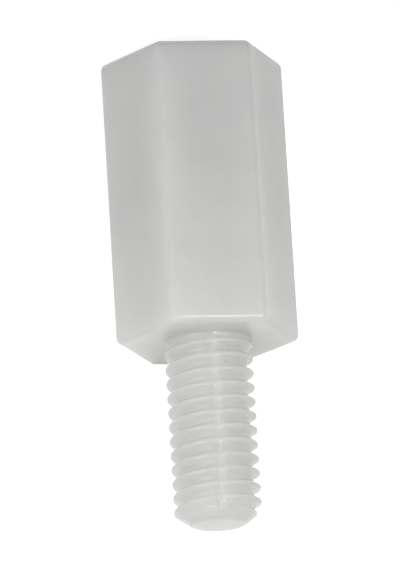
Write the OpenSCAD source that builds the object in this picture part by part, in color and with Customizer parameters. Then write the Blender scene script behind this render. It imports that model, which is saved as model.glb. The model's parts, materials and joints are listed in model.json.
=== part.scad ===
// Hex standoff: a moulded nylon spacer with a threaded bore in one end and a threaded stud on the other.
// It lies on one of its flats. Its axis runs along Y, with the bore's mouth towards +Y and the stud
// towards -Y, and the origin is on the axis where the stud leaves the body. Sizes are in millimetres.

/* [Hex body] */
// Width across opposite flats
across_flats = 5.5; // [4.5:0.1:8]
// Length of the body between its two end faces
body_l = 10; // [7:0.5:40]
// Bevel along the edges of both end faces
end_break = 0.15; // [0.05:0.05:0.4]
// Height rounded off each of the six long corners
corner_trim = 0.04; // [0.01:0.01:0.2]

/* [Threaded stud] */
// Outer diameter of the stud's thread
stud_d = 3; // [2:0.1:4]
// Length of the stud from the body to its tip
stud_l = 6.4; // [3:0.1:20]
// Bevel around the stud's tip
tip_break = 0.45; // [0.1:0.05:0.8]

/* [Threaded bore] */
// Inner diameter of the bore's thread
bore_d = 2.5; // [1.6:0.1:3.4]
// Depth of the bore from the end face to its flat bottom
bore_l = 6; // [3:0.1:9]
// Bevel around the bore's mouth
mouth_break = 0.35; // [0.1:0.05:0.6]

/* [Hidden] */
$fn = 96;
nylon = [0.80, 0.80, 0.78];
corner_r = across_flats / 2 / cos(30) - corner_trim;
stud_r = stud_d / 2;
bore_r = bore_d / 2;
// How far a cut runs past the face that it opens, and the stud's root reaches into the body
overrun = 0.5;

// Two opposite flats of the body, with the bevels at their ends; wide enough to span the corners.
module flat_pair() {
    half_w = across_flats / 2;
    rotate([90, 0, 0])
        linear_extrude(height = 2 * across_flats, center = true)
            polygon([
                [-half_w + end_break, 0], [half_w - end_break, 0],
                [half_w, end_break], [half_w, body_l - end_break],
                [half_w - end_break, body_l], [-half_w + end_break, body_l],
                [-half_w, body_l - end_break], [-half_w, end_break],
            ]);
}

// The hexagonal body, standing on its stud end, with two of its flats facing along Y.
module hex_body() {
    intersection() {
        rotate(30) flat_pair();
        rotate(90) flat_pair();
        rotate(150) flat_pair();
        cylinder(r = corner_r, h = body_l);
    }
}

// The stud, at the outer diameter of its thread, hanging below the body.
module stud() {
    rotate_extrude()
        polygon([
            [0, -stud_l], [stud_r - tip_break, -stud_l], [stud_r, -stud_l + tip_break],
            [stud_r, overrun], [0, overrun],
        ]);
}

// The space of the blind bore, at the inner diameter of its thread.
module bore() {
    rotate_extrude()
        polygon([
            [0, body_l - bore_l], [bore_r, body_l - bore_l],
            [bore_r, body_l - mouth_break], [bore_r + mouth_break + overrun, body_l + overrun],
            [0, body_l + overrun],
        ]);
}

// The whole standoff, one piece, laid down on a flat.
module hex_standoff() {
    color(nylon)
        rotate([-90, 0, 0])
            difference() {
                union() {
                    hex_body();
                    stud();
                }
                bore();
            }
}

hex_standoff();
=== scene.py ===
"""Hex standoff in natural nylon: a hexagonal spacer with a threaded bore in one end and a threaded stud
on the other, lying on one of its flats. The axis runs along Y, with the stud towards -Y."""

import json
import math

import bmesh
import bpy
from mathutils import Matrix, Vector


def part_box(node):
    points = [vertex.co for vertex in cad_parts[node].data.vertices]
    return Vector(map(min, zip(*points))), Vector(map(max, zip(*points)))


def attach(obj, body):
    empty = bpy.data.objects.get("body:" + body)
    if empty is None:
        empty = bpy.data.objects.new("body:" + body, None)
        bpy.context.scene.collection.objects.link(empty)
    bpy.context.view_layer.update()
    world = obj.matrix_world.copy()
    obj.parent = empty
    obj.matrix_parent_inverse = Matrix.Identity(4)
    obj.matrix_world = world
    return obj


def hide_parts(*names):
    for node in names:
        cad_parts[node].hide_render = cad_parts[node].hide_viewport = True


bl_info = {
    "name": "Hex Standoff",
    "version": (1, 0, 0),
    "blender": (4, 5, 0),
    "location": "View3D > Sidebar > Standoff",
    "description": "Builds a threaded nylon hex standoff and a small white studio around it",
    "category": "Add Mesh",
}

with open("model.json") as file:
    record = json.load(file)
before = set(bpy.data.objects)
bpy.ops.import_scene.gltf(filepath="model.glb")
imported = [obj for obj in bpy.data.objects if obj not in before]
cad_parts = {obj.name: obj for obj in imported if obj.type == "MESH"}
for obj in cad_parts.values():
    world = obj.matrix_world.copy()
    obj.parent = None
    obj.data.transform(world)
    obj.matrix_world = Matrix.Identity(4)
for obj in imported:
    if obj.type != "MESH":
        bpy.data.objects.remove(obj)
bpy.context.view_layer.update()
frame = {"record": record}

# The CAD node, its body in the frame, and the piece that stands in for the node.
NODE = "hex_standoff"
BODY = "root"
PIECE = "standoff_body"

# The mesh is modelled in millimetres and scaled to metres at the end. Vertices closer than the weld are
# merged, and a cut takes a vertex within the slack to lie on it.
MM = 0.001
WELD = 0.002
CUT_SLACK = WELD / 10

# The hex: its sides, half the angle that each spans, the least area of a face that is no strip of a
# rounding, and the border set into each of those faces, which keeps their shading even.
HEX_SIDES = 6
HALF_SIDE = math.pi / HEX_SIDES
FLAT_AREA = 1
FLAT_BORDER = 0.05

# Rounded edges: their segments, the shares of a rounded rim's depth that get a ring of vertices, the slope
# of the bore's mouth, and the angle from which an edge is shaded as sharp.
EDGE_SEGMENTS = 5
RIM_SHARES = (1 / 6, 1 / 2, 1)
MOUTH_SLOPE = math.radians(45)
SHARP_ANGLE = math.radians(30)

# Sixty-degree thread form: the flanks' slope, and as shares of the pitch the depth of the stud's grooves
# and the flats at the bottom of the stud's and the bore's grooves.
FLANK_ANGLE = math.radians(30)
STUD_GROOVE = 0.55 * math.cos(FLANK_ANGLE)
STUD_ROOT_FLAT = 1 / 4
BORE_ROOT_FLAT = 1 / 8

# Making a thread: the share of its narrower flat that a corner's rounding takes up, the segments of that
# rounding, and the turns that are made below the wall and cut off.
THREAD_ROUNDING = 0.45
THREAD_SEGMENTS = 3
SPARE_TURNS = 2

# Natural nylon: its index of refraction, the shares of the scatter depth that red, green and blue light
# travel, and the strength of its grain.
NYLON_IOR = 1.53
SCATTER_SHARES = (1.0, 1.0, 0.9)
GRAIN_STRENGTH = 0.5

# The nylon's noise patterns: their roughness, the detail of each, the levels between which the tone and the
# gloss change, and the patches of gloss that fit across one cloud.
NOISE_ROUGHNESS = 0.55
CLOUD_DETAIL = 3
GLOSS_DETAIL = 4
GRAIN_DETAIL = 2
CLOUD_LEVELS = (0.35, 0.65)
GLOSS_LEVELS = (0.3, 0.7)
GLOSS_PER_CLOUD = 4

# The photograph's frame in pixels, the sensor's long side in millimetres, and how many times nearer and
# farther than the standoff the camera still sees.
FRAME_WIDTH = 400
FRAME_HEIGHT = 570
SENSOR = 36.0
CLIP_FACTOR = 10

WHITE = (1, 1, 1, 1)

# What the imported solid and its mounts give.
low_corner, high_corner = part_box(NODE)
mounts = {mount["name"]: mount for mount in frame["record"]["mounts"]}
stud_mount = mounts["stud"]
bore_mount = mounts["threaded_bore"]
mouth_depth = high_corner.y - bore_mount["pos_m"][1]


class StandoffSizes(bpy.types.PropertyGroup):
    """Sizes of the standoff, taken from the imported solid, and of its threads and rounded edges."""

    across_flats: bpy.props.FloatProperty(
        name="Across flats",
        description="Width between two opposite flats of the hex",
        default=high_corner.z - low_corner.z,
        unit="LENGTH",
    )
    body_length: bpy.props.FloatProperty(
        name="Body length",
        description="Length of the hex between its end faces",
        default=high_corner.y,
        unit="LENGTH",
    )
    corner_rounding: bpy.props.FloatProperty(
        name="Corner rounding",
        description="Width of the rounding on each side of the hex's long corners",
        default=0.15 * MM,
        unit="LENGTH",
    )
    end_rounding: bpy.props.FloatProperty(
        name="End rounding",
        description="Width of the rounding on each side of the edges around the hex's end faces",
        default=0.24 * MM,
        unit="LENGTH",
    )
    stud_radius: bpy.props.FloatProperty(
        name="Stud radius",
        description="Radius of the stud over its thread's crests",
        default=stud_mount["dims"]["r_mm"] * MM,
        unit="LENGTH",
    )
    stud_length: bpy.props.FloatProperty(
        name="Stud length",
        description="Length of the stud from the shoulder to its tip",
        default=-low_corner.y,
        unit="LENGTH",
    )
    tip_bevel: bpy.props.FloatProperty(
        name="Tip bevel",
        description="Length of the bevel around the stud's tip",
        default=-low_corner.y - stud_mount["dims"]["length_mm"] * MM,
        unit="LENGTH",
    )
    tip_inset: bpy.props.FloatProperty(
        name="Tip inset",
        description="How far the bevel around the stud's tip comes in",
        default=0.6 * MM,
        unit="LENGTH",
    )
    tip_rounding: bpy.props.FloatProperty(
        name="Tip rounding",
        description="Radius of the rounding between the stud's end and its bevel",
        default=0.4 * MM,
        unit="LENGTH",
    )
    bore_radius: bpy.props.FloatProperty(
        name="Bore radius",
        description="Radius of the bore inside its thread's crests",
        default=bore_mount["dims"]["r_mm"] * MM,
        unit="LENGTH",
    )
    bore_depth: bpy.props.FloatProperty(
        name="Bore depth",
        description="Depth of the bore below the open end face",
        default=bore_mount["dims"]["length_mm"] * MM + mouth_depth,
        unit="LENGTH",
    )
    mouth_bevel: bpy.props.FloatProperty(
        name="Mouth bevel",
        description="Width of the bevel around the bore's mouth",
        default=mouth_depth,
        unit="LENGTH",
    )
    mouth_rounding: bpy.props.FloatProperty(
        name="Mouth rounding",
        description="Radius of the rounding between the open end face and the bore's bevel",
        default=0.15 * MM,
        unit="LENGTH",
    )
    pitch: bpy.props.FloatProperty(
        name="Thread pitch",
        description="Distance from one thread crest to the next",
        default=0.5 * MM,
        unit="LENGTH",
    )
    thread_start: bpy.props.FloatProperty(
        name="Thread start",
        description="Angle that both threads are turned by about the axis",
        default=0.0,
        subtype="ANGLE",
    )
    run_out: bpy.props.FloatProperty(
        name="Thread run-out",
        description="Length over which the stud's thread fades out at the shoulder",
        default=0.5 * MM,
        unit="LENGTH",
    )
    seam_width: bpy.props.FloatProperty(
        name="Seam width",
        description="Width at half height of the line that the mould leaves along the stud",
        default=0.34 * MM,
        unit="LENGTH",
    )
    seam_fill: bpy.props.FloatProperty(
        name="Seam fill",
        description="Share of the thread's depth that the mould's line fills",
        default=1.0,
        subtype="FACTOR",
    )
    steps_per_turn: bpy.props.IntProperty(
        name="Steps per turn",
        description="Faces around one turn of a thread",
        default=72,
        min=16,
    )


class NylonFinish(bpy.types.PropertyGroup):
    """Colours and surface of the moulded nylon."""

    milky: bpy.props.FloatVectorProperty(
        name="Milky tone",
        description="Colour of the nylon where it is clouded",
        default=(0.66, 0.658, 0.632),
        subtype="COLOR",
    )
    clear: bpy.props.FloatVectorProperty(
        name="Clear tone",
        description="Colour of the nylon where it is clearer",
        default=(0.615, 0.624, 0.612),
        subtype="COLOR",
    )
    cloud_size: bpy.props.FloatProperty(
        name="Cloud size",
        description="Size of the patches of milky and clear tone",
        default=3.0 * MM,
        unit="LENGTH",
    )
    scatter_depth: bpy.props.FloatProperty(
        name="Scatter depth",
        description="How far light travels inside the nylon",
        default=5.0 * MM,
        unit="LENGTH",
    )
    grain_size: bpy.props.FloatProperty(
        name="Grain size",
        description="Size of the fine grain that the mould leaves",
        default=0.12 * MM,
        unit="LENGTH",
    )
    grain_height: bpy.props.FloatProperty(
        name="Grain height",
        description="Height of the fine grain that the mould leaves",
        default=0.0012 * MM,
        unit="LENGTH",
    )
    smoothest: bpy.props.FloatProperty(
        name="Lowest roughness",
        description="Roughness of the glossiest patches",
        default=0.20,
        subtype="FACTOR",
    )
    roughest: bpy.props.FloatProperty(
        name="Highest roughness",
        description="Roughness of the dullest patches",
        default=0.26,
        subtype="FACTOR",
    )


class StudioSettings(bpy.types.PropertyGroup):
    """The camera, the lamps and the white floor around the standoff."""

    azimuth: bpy.props.FloatProperty(
        name="Azimuth",
        description="Direction the camera looks from, about the vertical",
        default=math.radians(-29.4),
        subtype="ANGLE",
    )
    elevation: bpy.props.FloatProperty(
        name="Elevation",
        description="Angle of the camera above the floor",
        default=math.radians(71.6),
        subtype="ANGLE",
    )
    roll: bpy.props.FloatProperty(
        name="Roll",
        description="Turn of the camera about its own line of sight",
        default=math.radians(27.2),
        subtype="ANGLE",
    )
    distance: bpy.props.FloatProperty(
        name="Distance",
        description="Distance of the camera from the standoff",
        default=250 * MM,
        unit="LENGTH",
    )
    pixels_per_mm: bpy.props.FloatProperty(
        name="Pixels per millimetre",
        description="Scale of the picture at the stud's shoulder",
        default=29.4,
    )
    shoulder_pixel: bpy.props.FloatVectorProperty(
        name="Shoulder pixel",
        description="Where the middle of the shoulder lies in the picture",
        size=2,
        default=(207.9, 343.3),
    )
    sky_level: bpy.props.FloatProperty(
        name="Sky level",
        description="Brightness of the even light from all round",
        default=0.2,
    )
    lamp_size: bpy.props.FloatProperty(
        name="Side lamp size",
        description="Width of the broad square lamps on both sides",
        default=30 * MM,
        unit="LENGTH",
    )
    left_place: bpy.props.FloatVectorProperty(
        name="Left place",
        description="Where the broad lamp on the left stands",
        default=(-36 * MM, -14 * MM, 40 * MM),
        subtype="TRANSLATION",
        unit="LENGTH",
    )
    left_power: bpy.props.FloatProperty(
        name="Left power",
        description="Power of the broad lamp on the left",
        default=0.0138,
        unit="POWER",
    )
    right_place: bpy.props.FloatVectorProperty(
        name="Right place",
        description="Where the broad lamp on the right stands",
        default=(30 * MM, -14 * MM, 45 * MM),
        subtype="TRANSLATION",
        unit="LENGTH",
    )
    right_power: bpy.props.FloatProperty(
        name="Right power",
        description="Power of the broad lamp on the right",
        default=0.0083,
        unit="POWER",
    )
    top_place: bpy.props.FloatVectorProperty(
        name="Top place",
        description="Where the long lamp stands that lines the hex's near edge with light",
        default=(9 * MM, -15 * MM, 58 * MM),
        subtype="TRANSLATION",
        unit="LENGTH",
    )
    top_size: bpy.props.FloatVectorProperty(
        name="Top lamp size",
        description="Width and length of the long lamp overhead",
        size=2,
        default=(12 * MM, 26 * MM),
        unit="LENGTH",
    )
    top_power: bpy.props.FloatProperty(
        name="Top power",
        description="Power of the long lamp overhead",
        default=0.0070,
        unit="POWER",
    )
    floor_tone: bpy.props.FloatProperty(
        name="Floor tone",
        description="How much of the light that falls on the floor it throws back",
        default=0.85,
        subtype="FACTOR",
    )
    floor_lift: bpy.props.FloatProperty(
        name="Floor lift",
        description="Brightness added to the floor as it is seen near the standoff",
        default=0.6,
    )
    shadow_reach: bpy.props.FloatProperty(
        name="Shadow reach",
        description="Distance from the shoulder within which the floor shows its shadows in full",
        default=20 * MM,
        unit="LENGTH",
    )
    white_reach: bpy.props.FloatProperty(
        name="White reach",
        description="Distance from the shoulder beyond which the floor is plain white",
        default=50 * MM,
        unit="LENGTH",
    )
    floor_width: bpy.props.FloatProperty(
        name="Floor width",
        description="Width of the square floor",
        default=600 * MM,
        unit="LENGTH",
    )


def to_mm(length):
    """A length in metres, in the millimetres of the modelling."""
    return length / MM


def whole(bm):
    """All the geometry of a mesh."""
    return bm.verts[:] + bm.edges[:] + bm.faces[:]


def cut_across(bm, height, outward=1, clear_outer=False):
    """Cuts a ring of edges into a wall at a height on the Y axis, and can clear what lies outward of it."""
    bmesh.ops.bisect_plane(
        bm,
        geom=whole(bm),
        dist=CUT_SLACK,
        plane_co=(0, height, 0),
        plane_no=(0, outward, 0),
        clear_outer=clear_outer,
    )


def draw_thread_form(bm, crest, root, root_flat, pitch, start):
    """Draws one pitch of a thread's section, with rounded corners, upwards from a height on the Y axis."""
    flank = abs(crest - root) * math.tan(FLANK_ANGLE)
    crest_flat = pitch - root_flat - 2 * flank
    outline = [
        (root, 0),
        (root, root_flat / 2),
        (crest, root_flat / 2 + flank),
        (crest, pitch - root_flat / 2 - flank),
        (root, pitch - root_flat / 2),
        (root, pitch),
    ]
    verts = [bm.verts.new((radius, start + along, 0)) for radius, along in outline]
    for pair in zip(verts, verts[1:]):
        bm.edges.new(pair)
    bmesh.ops.bevel(
        bm,
        geom=verts[1:-1],
        offset=THREAD_ROUNDING * min(crest_flat, root_flat),
        segments=THREAD_SEGMENTS,
        profile=0.5,
        affect="VERTICES",
        material=-1,
    )


def thread_wall(crest, root, root_flat, low, high, sizes):
    """The helical wall of a right-hand thread between two heights on the Y axis, open at both ends."""
    bm = bmesh.new()
    pitch = to_mm(sizes.pitch)
    start = low - SPARE_TURNS * pitch
    draw_thread_form(bm, crest, root, root_flat, pitch, start)
    bmesh.ops.spin(
        bm,
        geom=whole(bm),
        cent=(0, 0, 0),
        axis=(0, 1, 0),
        dvec=(0, pitch / sizes.steps_per_turn, 0),
        angle=math.tau,
        steps=sizes.steps_per_turn,
    )
    first_turn = whole(bm)
    for turn in range(1, math.ceil((high - start) / pitch) + 1):
        copied = bmesh.ops.duplicate(bm, geom=first_turn)["geom"]
        verts = [item for item in copied if isinstance(item, bmesh.types.BMVert)]
        bmesh.ops.translate(bm, verts=verts, vec=(0, turn * pitch, 0))
    bmesh.ops.remove_doubles(bm, verts=bm.verts, dist=WELD)
    start_turn = Matrix.Rotation(sizes.thread_start, 3, "Y")
    bmesh.ops.rotate(bm, verts=bm.verts, cent=(0, 0, 0), matrix=start_turn)
    cut_across(bm, low, outward=-1, clear_outer=True)
    cut_across(bm, high, outward=1, clear_outer=True)
    return bm


def reshape_radius(bm, radius_at):
    """Moves each vertex to radius_at(its place, its distance from the Y axis)."""
    for vert in bm.verts:
        radius = math.hypot(vert.co.x, vert.co.z)
        factor = radius_at(vert.co, radius) / radius
        vert.co.x *= factor
        vert.co.z *= factor


def bevel_reach(depth, slope, rounding):
    """How far out a bevel with a rounded rim has come at a depth below its end face."""
    if depth > rounding * (1 - math.cos(slope)):
        return depth / math.tan(slope)
    arc = math.sqrt(rounding**2 - (rounding - max(depth, 0)) ** 2)
    return arc - rounding * math.tan(slope / 2)


def ring_depths(bevel, slope, rounding):
    """Depths below an end face that need a ring of vertices to carry its bevel and rounded rim."""
    rim = rounding * (1 - math.cos(slope))
    return [share * rim for share in RIM_SHARES] + [bevel]


def stud_wall(sizes):
    """The stud's threaded wall, from its bevelled tip to the shoulder."""
    crest = to_mm(sizes.stud_radius)
    pitch = to_mm(sizes.pitch)
    depth = STUD_GROOVE * pitch
    tip = -to_mm(sizes.stud_length)
    bevel = to_mm(sizes.tip_bevel)
    inset = to_mm(sizes.tip_inset)
    slope = math.atan2(bevel, inset)
    rounding = to_mm(sizes.tip_rounding)

    def radius_at(place, radius):
        run_out = 1 + place.y / to_mm(sizes.run_out)
        across = min(abs(place.x) / to_mm(sizes.seam_width), 1)
        seam = sizes.seam_fill * (1 + math.cos(math.pi * across)) / 2
        groove = crest - depth * (1 - max(run_out, seam))
        bevelled = crest - inset + bevel_reach(place.y - tip, slope, rounding)
        return min(max(radius, groove), bevelled)

    wall = thread_wall(crest, crest - depth, STUD_ROOT_FLAT * pitch, tip, 0, sizes)
    for ring in ring_depths(bevel, slope, rounding):
        cut_across(wall, tip + ring)
    reshape_radius(wall, radius_at)
    return wall


def bore_wall(sizes):
    """The bore's threaded wall, from its flat bottom to its bevelled mouth."""
    crest = to_mm(sizes.bore_radius)
    root = to_mm(sizes.stud_radius)
    pitch = to_mm(sizes.pitch)
    top = to_mm(sizes.body_length)
    bottom = top - to_mm(sizes.bore_depth)
    bevel = to_mm(sizes.mouth_bevel)
    rounding = to_mm(sizes.mouth_rounding)

    def radius_at(place, radius):
        bevelled = crest + bevel - bevel_reach(top - place.y, MOUTH_SLOPE, rounding)
        return max(radius, bevelled)

    wall = thread_wall(crest, root, BORE_ROOT_FLAT * pitch, bottom, top, sizes)
    for ring in ring_depths(bevel, MOUTH_SLOPE, rounding):
        cut_across(wall, top - ring)
    reshape_radius(wall, radius_at)
    return wall


def lies_across(edge):
    """Whether an edge lies square to the Y axis."""
    return abs(edge.verts[0].co.y - edge.verts[1].co.y) < WELD


def round_edges(bm, edges, width):
    """Rounds edges over the given width on each side of them."""
    bmesh.ops.bevel(
        bm,
        geom=edges,
        offset=to_mm(width),
        segments=EDGE_SEGMENTS,
        profile=0.5,
        affect="EDGES",
        material=-1,
    )


def hex_shell(sizes):
    """The hex with its edges rounded and both end faces left open."""
    bm = bmesh.new()
    corner_radius = to_mm(sizes.across_flats) / 2 / math.cos(HALF_SIDE)
    across_axis = Matrix.Rotation(math.radians(90), 4, "X")
    corners_on_x = Matrix.Rotation(HALF_SIDE, 4, "Y")
    bmesh.ops.create_circle(
        bm,
        cap_ends=True,
        radius=corner_radius,
        segments=HEX_SIDES,
        matrix=corners_on_x @ across_axis,
    )
    raised = bmesh.ops.extrude_face_region(bm, geom=bm.faces[:])["geom"]
    far_end = [item for item in raised if isinstance(item, bmesh.types.BMVert)]
    bmesh.ops.translate(bm, verts=far_end, vec=(0, to_mm(sizes.body_length), 0))
    bmesh.ops.recalc_face_normals(bm, faces=bm.faces)
    round_edges(bm, [edge for edge in bm.edges if not lies_across(edge)], sizes.corner_rounding)
    round_edges(bm, [edge for edge in bm.edges if lies_across(edge)], sizes.end_rounding)
    flats = [face for face in bm.faces if face.calc_area() > FLAT_AREA]
    bmesh.ops.inset_individual(bm, faces=flats, thickness=FLAT_BORDER, use_even_offset=True)
    ends = [face for face in flats if all(lies_across(edge) for edge in face.edges)]
    bmesh.ops.delete(bm, geom=ends, context="FACES_ONLY")
    return bm


def take_in(bm, part):
    """Adds the geometry of another bmesh, which is then freed."""
    mesh = bpy.data.meshes.new("part")
    part.to_mesh(mesh)
    part.free()
    bm.from_mesh(mesh)
    bpy.data.meshes.remove(mesh)


def close_at(bm, height):
    """Fills the flat face between the open edges at a height on the Y axis."""
    rims = [
        edge
        for edge in bm.edges
        if edge.is_boundary and all(abs(vert.co.y - height) < WELD for vert in edge.verts)
    ]
    bmesh.ops.triangle_fill(bm, edges=rims, use_beauty=True, normal=(0, 1, 0))


def standoff_mesh(sizes):
    """The whole standoff as one closed mesh, in metres."""
    tip = -to_mm(sizes.stud_length)
    top = to_mm(sizes.body_length)
    bm = hex_shell(sizes)
    take_in(bm, stud_wall(sizes))
    take_in(bm, bore_wall(sizes))
    for height in (tip, 0, top - to_mm(sizes.bore_depth), top):
        close_at(bm, height)
    bmesh.ops.recalc_face_normals(bm, faces=bm.faces)
    open_edges = [edge for edge in bm.edges if not edge.is_manifold]
    if open_edges:
        raise RuntimeError(f"the standoff's mesh isn't closed at {len(open_edges)} edges")
    for face in bm.faces:
        face.smooth = True
    for edge in bm.edges:
        edge.smooth = edge.calc_face_angle(0) < SHARP_ANGLE
    bmesh.ops.scale(bm, verts=bm.verts, vec=(MM, MM, MM))
    mesh = bpy.data.meshes.new(PIECE)
    bm.to_mesh(mesh)
    bm.free()
    return mesh


def add_node(tree, kind, **values):
    """Adds a shader node and sets the inputs that are given by name, with _ for a space."""
    node = tree.nodes.new(kind)
    for name, value in values.items():
        node.inputs[name.replace("_", " ")].default_value = value
    return node


def add_noise(tree, place, size, detail):
    """A noise pattern with features of about the given size, on Object coordinates."""
    noise = add_node(
        tree,
        "ShaderNodeTexNoise",
        Scale=1 / size,
        Detail=detail,
        Roughness=NOISE_ROUGHNESS,
    )
    tree.links.new(place.outputs["Object"], noise.inputs["Vector"])
    return noise


def nylon_material(finish):
    """Natural nylon: milky, a little see-into, with clouded patches, uneven gloss and a fine grain."""
    material = bpy.data.materials.new("natural_nylon_moulded")
    material.use_nodes = True
    tree = material.node_tree
    shader = tree.nodes["Principled BSDF"]
    shader.subsurface_method = "RANDOM_WALK"
    shader.inputs["IOR"].default_value = NYLON_IOR
    shader.inputs["Subsurface Weight"].default_value = 1.0
    shader.inputs["Subsurface Radius"].default_value = SCATTER_SHARES
    shader.inputs["Subsurface Scale"].default_value = finish.scatter_depth
    place = tree.nodes.new("ShaderNodeTexCoord")

    clouds = add_noise(tree, place, finish.cloud_size, CLOUD_DETAIL)
    tones = tree.nodes.new("ShaderNodeValToRGB")
    clear_stop, milky_stop = tones.color_ramp.elements
    clear_stop.position, milky_stop.position = CLOUD_LEVELS
    clear_stop.color = (*finish.clear, 1)
    milky_stop.color = (*finish.milky, 1)
    tree.links.new(clouds.outputs["Fac"], tones.inputs["Fac"])
    tree.links.new(tones.outputs["Color"], shader.inputs["Base Color"])

    patches = add_noise(tree, place, finish.cloud_size / GLOSS_PER_CLOUD, GLOSS_DETAIL)
    gloss = add_node(
        tree,
        "ShaderNodeMapRange",
        From_Min=GLOSS_LEVELS[0],
        From_Max=GLOSS_LEVELS[1],
        To_Min=finish.smoothest,
        To_Max=finish.roughest,
    )
    tree.links.new(patches.outputs["Fac"], gloss.inputs["Value"])
    tree.links.new(gloss.outputs["Result"], shader.inputs["Roughness"])

    grain = add_noise(tree, place, finish.grain_size, GRAIN_DETAIL)
    relief = add_node(tree, "ShaderNodeBump", Strength=GRAIN_STRENGTH, Distance=finish.grain_height)
    tree.links.new(grain.outputs["Fac"], relief.inputs["Height"])
    tree.links.new(relief.outputs["Normal"], shader.inputs["Normal"])
    return material


def combine(tree, operation, first, second):
    """The result of a maths operation on two sockets."""
    maths = tree.nodes.new("ShaderNodeMath")
    maths.operation = operation
    tree.links.new(first, maths.inputs[0])
    tree.links.new(second, maths.inputs[1])
    return maths.outputs["Value"]


def background_rays(tree):
    """1 for the rays that see the white surroundings, and 0 for those that light the standoff."""
    path = tree.nodes.new("ShaderNodeLightPath")
    seen = path.outputs["Is Camera Ray"]
    for ray in ("Is Glossy Ray", "Is Transmission Ray"):
        seen = combine(tree, "MAXIMUM", seen, path.outputs[ray])
    return seen


def floor_brightness(tree, studio):
    """What is added to the floor where it is seen: less near the standoff, so that its shadow shows."""
    place = tree.nodes.new("ShaderNodeTexCoord")
    reach = tree.nodes.new("ShaderNodeVectorMath")
    reach.operation = "LENGTH"
    rise = add_node(
        tree,
        "ShaderNodeMapRange",
        From_Min=studio.shadow_reach,
        From_Max=studio.white_reach,
        To_Min=studio.floor_lift,
        To_Max=1.0,
    )
    tree.links.new(place.outputs["Object"], reach.inputs[0])
    tree.links.new(reach.outputs["Value"], rise.inputs["Value"])
    return combine(tree, "MULTIPLY", background_rays(tree), rise.outputs["Result"])


def white_floor_material(studio):
    """White paper that shows as plain white, apart from the standoff's shadow near it."""
    material = bpy.data.materials.new("white_paper_floor")
    material.use_nodes = True
    tree = material.node_tree
    tree.nodes.clear()
    tone = studio.floor_tone
    paper = add_node(tree, "ShaderNodeBsdfDiffuse", Color=(tone, tone, tone, 1))
    lift = add_node(tree, "ShaderNodeEmission", Color=WHITE)
    both = tree.nodes.new("ShaderNodeAddShader")
    output = tree.nodes.new("ShaderNodeOutputMaterial")
    tree.links.new(floor_brightness(tree, studio), lift.inputs["Strength"])
    tree.links.new(paper.outputs["BSDF"], both.inputs[0])
    tree.links.new(lift.outputs["Emission"], both.inputs[1])
    tree.links.new(both.outputs["Shader"], output.inputs["Surface"])
    return material


def add_floor(studio):
    """The floor that the standoff lies on."""
    bm = bmesh.new()
    level = Matrix.Translation((0, 0, low_corner.z))
    bmesh.ops.create_grid(bm, x_segments=1, y_segments=1, size=studio.floor_width / 2, matrix=level)
    mesh = bpy.data.meshes.new("floor")
    bm.to_mesh(mesh)
    bm.free()
    mesh.materials.append(white_floor_material(studio))
    floor = bpy.data.objects.new("floor", mesh)
    bpy.context.collection.objects.link(floor)


def light_world(studio):
    """Even light from all round, which shows as plain white."""
    world = bpy.data.worlds.new("white_studio")
    bpy.context.scene.world = world
    world.use_nodes = True
    tree = world.node_tree
    sky = tree.nodes["Background"]
    sky.inputs["Color"].default_value = WHITE
    level = add_node(tree, "ShaderNodeMapRange", To_Min=studio.sky_level, To_Max=1.0)
    tree.links.new(background_rays(tree), level.inputs["Value"])
    tree.links.new(level.outputs["Result"], sky.inputs["Strength"])


def add_lamp(name, place, size, power):
    """A soft lamp of a width and a length that shines on the shoulder from its place."""
    light = bpy.data.lights.new(name, "AREA")
    light.shape = "RECTANGLE"
    light.size, light.size_y = size
    light.energy = power
    lamp = bpy.data.objects.new(name, light)
    lamp.location = place
    lamp.rotation_euler = Vector(place).to_track_quat("Z", "Y").to_euler()
    lamp.visible_camera = False
    bpy.context.collection.objects.link(lamp)


def aim_camera(studio):
    """The camera at the photograph's angle, with the shoulder at its place in the picture."""
    along_floor = math.cos(studio.elevation)
    back = Vector(
        (
            math.sin(studio.azimuth) * along_floor,
            -math.cos(studio.azimuth) * along_floor,
            math.sin(studio.elevation),
        )
    )
    level_right = Vector((0, 0, 1)).cross(back).normalized()
    turned = Matrix.Rotation(studio.roll, 3, back)
    right = turned @ level_right
    up = back.cross(right)
    scale = studio.pixels_per_mm / MM
    across = (FRAME_WIDTH / 2 - studio.shoulder_pixel[0]) / scale
    rise = (studio.shoulder_pixel[1] - FRAME_HEIGHT / 2) / scale
    aim = right * across + up * rise
    data = bpy.data.cameras.new("camera")
    data.sensor_width = SENSOR
    data.lens = scale * studio.distance * SENSOR / FRAME_HEIGHT
    data.clip_start = studio.distance / CLIP_FACTOR
    data.clip_end = studio.distance * CLIP_FACTOR
    camera = bpy.data.objects.new("camera", data)
    turn = Matrix((right, up, back)).transposed().to_4x4()
    camera.matrix_world = Matrix.Translation(aim + back * studio.distance) @ turn
    bpy.context.collection.objects.link(camera)
    bpy.context.scene.camera = camera


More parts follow.
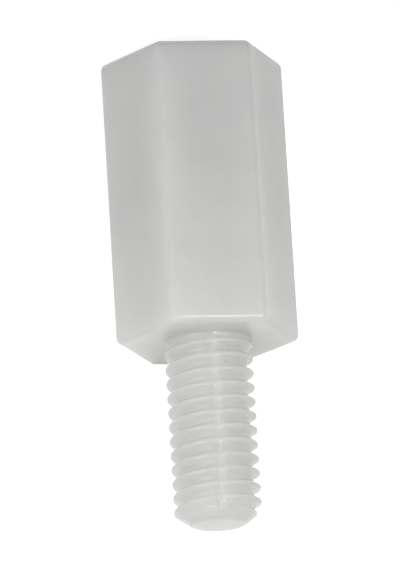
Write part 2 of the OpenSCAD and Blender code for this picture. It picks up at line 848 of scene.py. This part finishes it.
class STANDOFF_OT_add_standoff(bpy.types.Operator):
    """Build the hex standoff with its threads and its nylon finish"""

    bl_idname = "standoff.add_standoff"
    bl_label = "Hex Standoff"

    def execute(self, context):
        mesh = standoff_mesh(context.scene.standoff_sizes)
        mesh.materials.append(nylon_material(context.scene.standoff_finish))
        piece = bpy.data.objects.new(PIECE, mesh)
        context.collection.objects.link(piece)
        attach(piece, BODY)
        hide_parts(NODE)
        return {"FINISHED"}


class STANDOFF_OT_add_studio(bpy.types.Operator):
    """Set up the camera, the lamps and the white floor"""

    bl_idname = "standoff.add_studio"
    bl_label = "White Studio"

    def execute(self, context):
        studio = context.scene.standoff_studio
        aim_camera(studio)
        add_floor(studio)
        light_world(studio)
        side_size = (studio.lamp_size, studio.lamp_size)
        add_lamp("left_lamp", studio.left_place, side_size, studio.left_power)
        add_lamp("right_lamp", studio.right_place, side_size, studio.right_power)
        add_lamp("top_lamp", studio.top_place, studio.top_size, studio.top_power)
        context.scene.view_settings.view_transform = "Standard"
        return {"FINISHED"}


class STANDOFF_PT_panel(bpy.types.Panel):
    """Sizes, finish and studio of the hex standoff"""

    bl_label = "Hex Standoff"
    bl_idname = "STANDOFF_PT_panel"
    bl_space_type = "VIEW_3D"
    bl_region_type = "UI"
    bl_category = "Standoff"

    def draw(self, context):
        scene = context.scene
        for settings in (scene.standoff_sizes, scene.standoff_finish, scene.standoff_studio):
            box = self.layout.box()
            for name in settings.__annotations__:
                box.prop(settings, name)
        for operator in (STANDOFF_OT_add_standoff, STANDOFF_OT_add_studio):
            self.layout.operator(operator.bl_idname)


classes = (
    StandoffSizes,
    NylonFinish,
    StudioSettings,
    STANDOFF_OT_add_standoff,
    STANDOFF_OT_add_studio,
    STANDOFF_PT_panel,
)


def register():
    for cls in classes:
        bpy.utils.register_class(cls)
    bpy.types.Scene.standoff_sizes = bpy.props.PointerProperty(type=StandoffSizes)
    bpy.types.Scene.standoff_finish = bpy.props.PointerProperty(type=NylonFinish)
    bpy.types.Scene.standoff_studio = bpy.props.PointerProperty(type=StudioSettings)


def unregister():
    del bpy.types.Scene.standoff_sizes
    del bpy.types.Scene.standoff_finish
    del bpy.types.Scene.standoff_studio
    for cls in reversed(classes):
        bpy.utils.unregister_class(cls)


def main():
    register()
    bpy.ops.standoff.add_standoff()
    bpy.ops.standoff.add_studio()


if __name__ == "__main__":
    main()
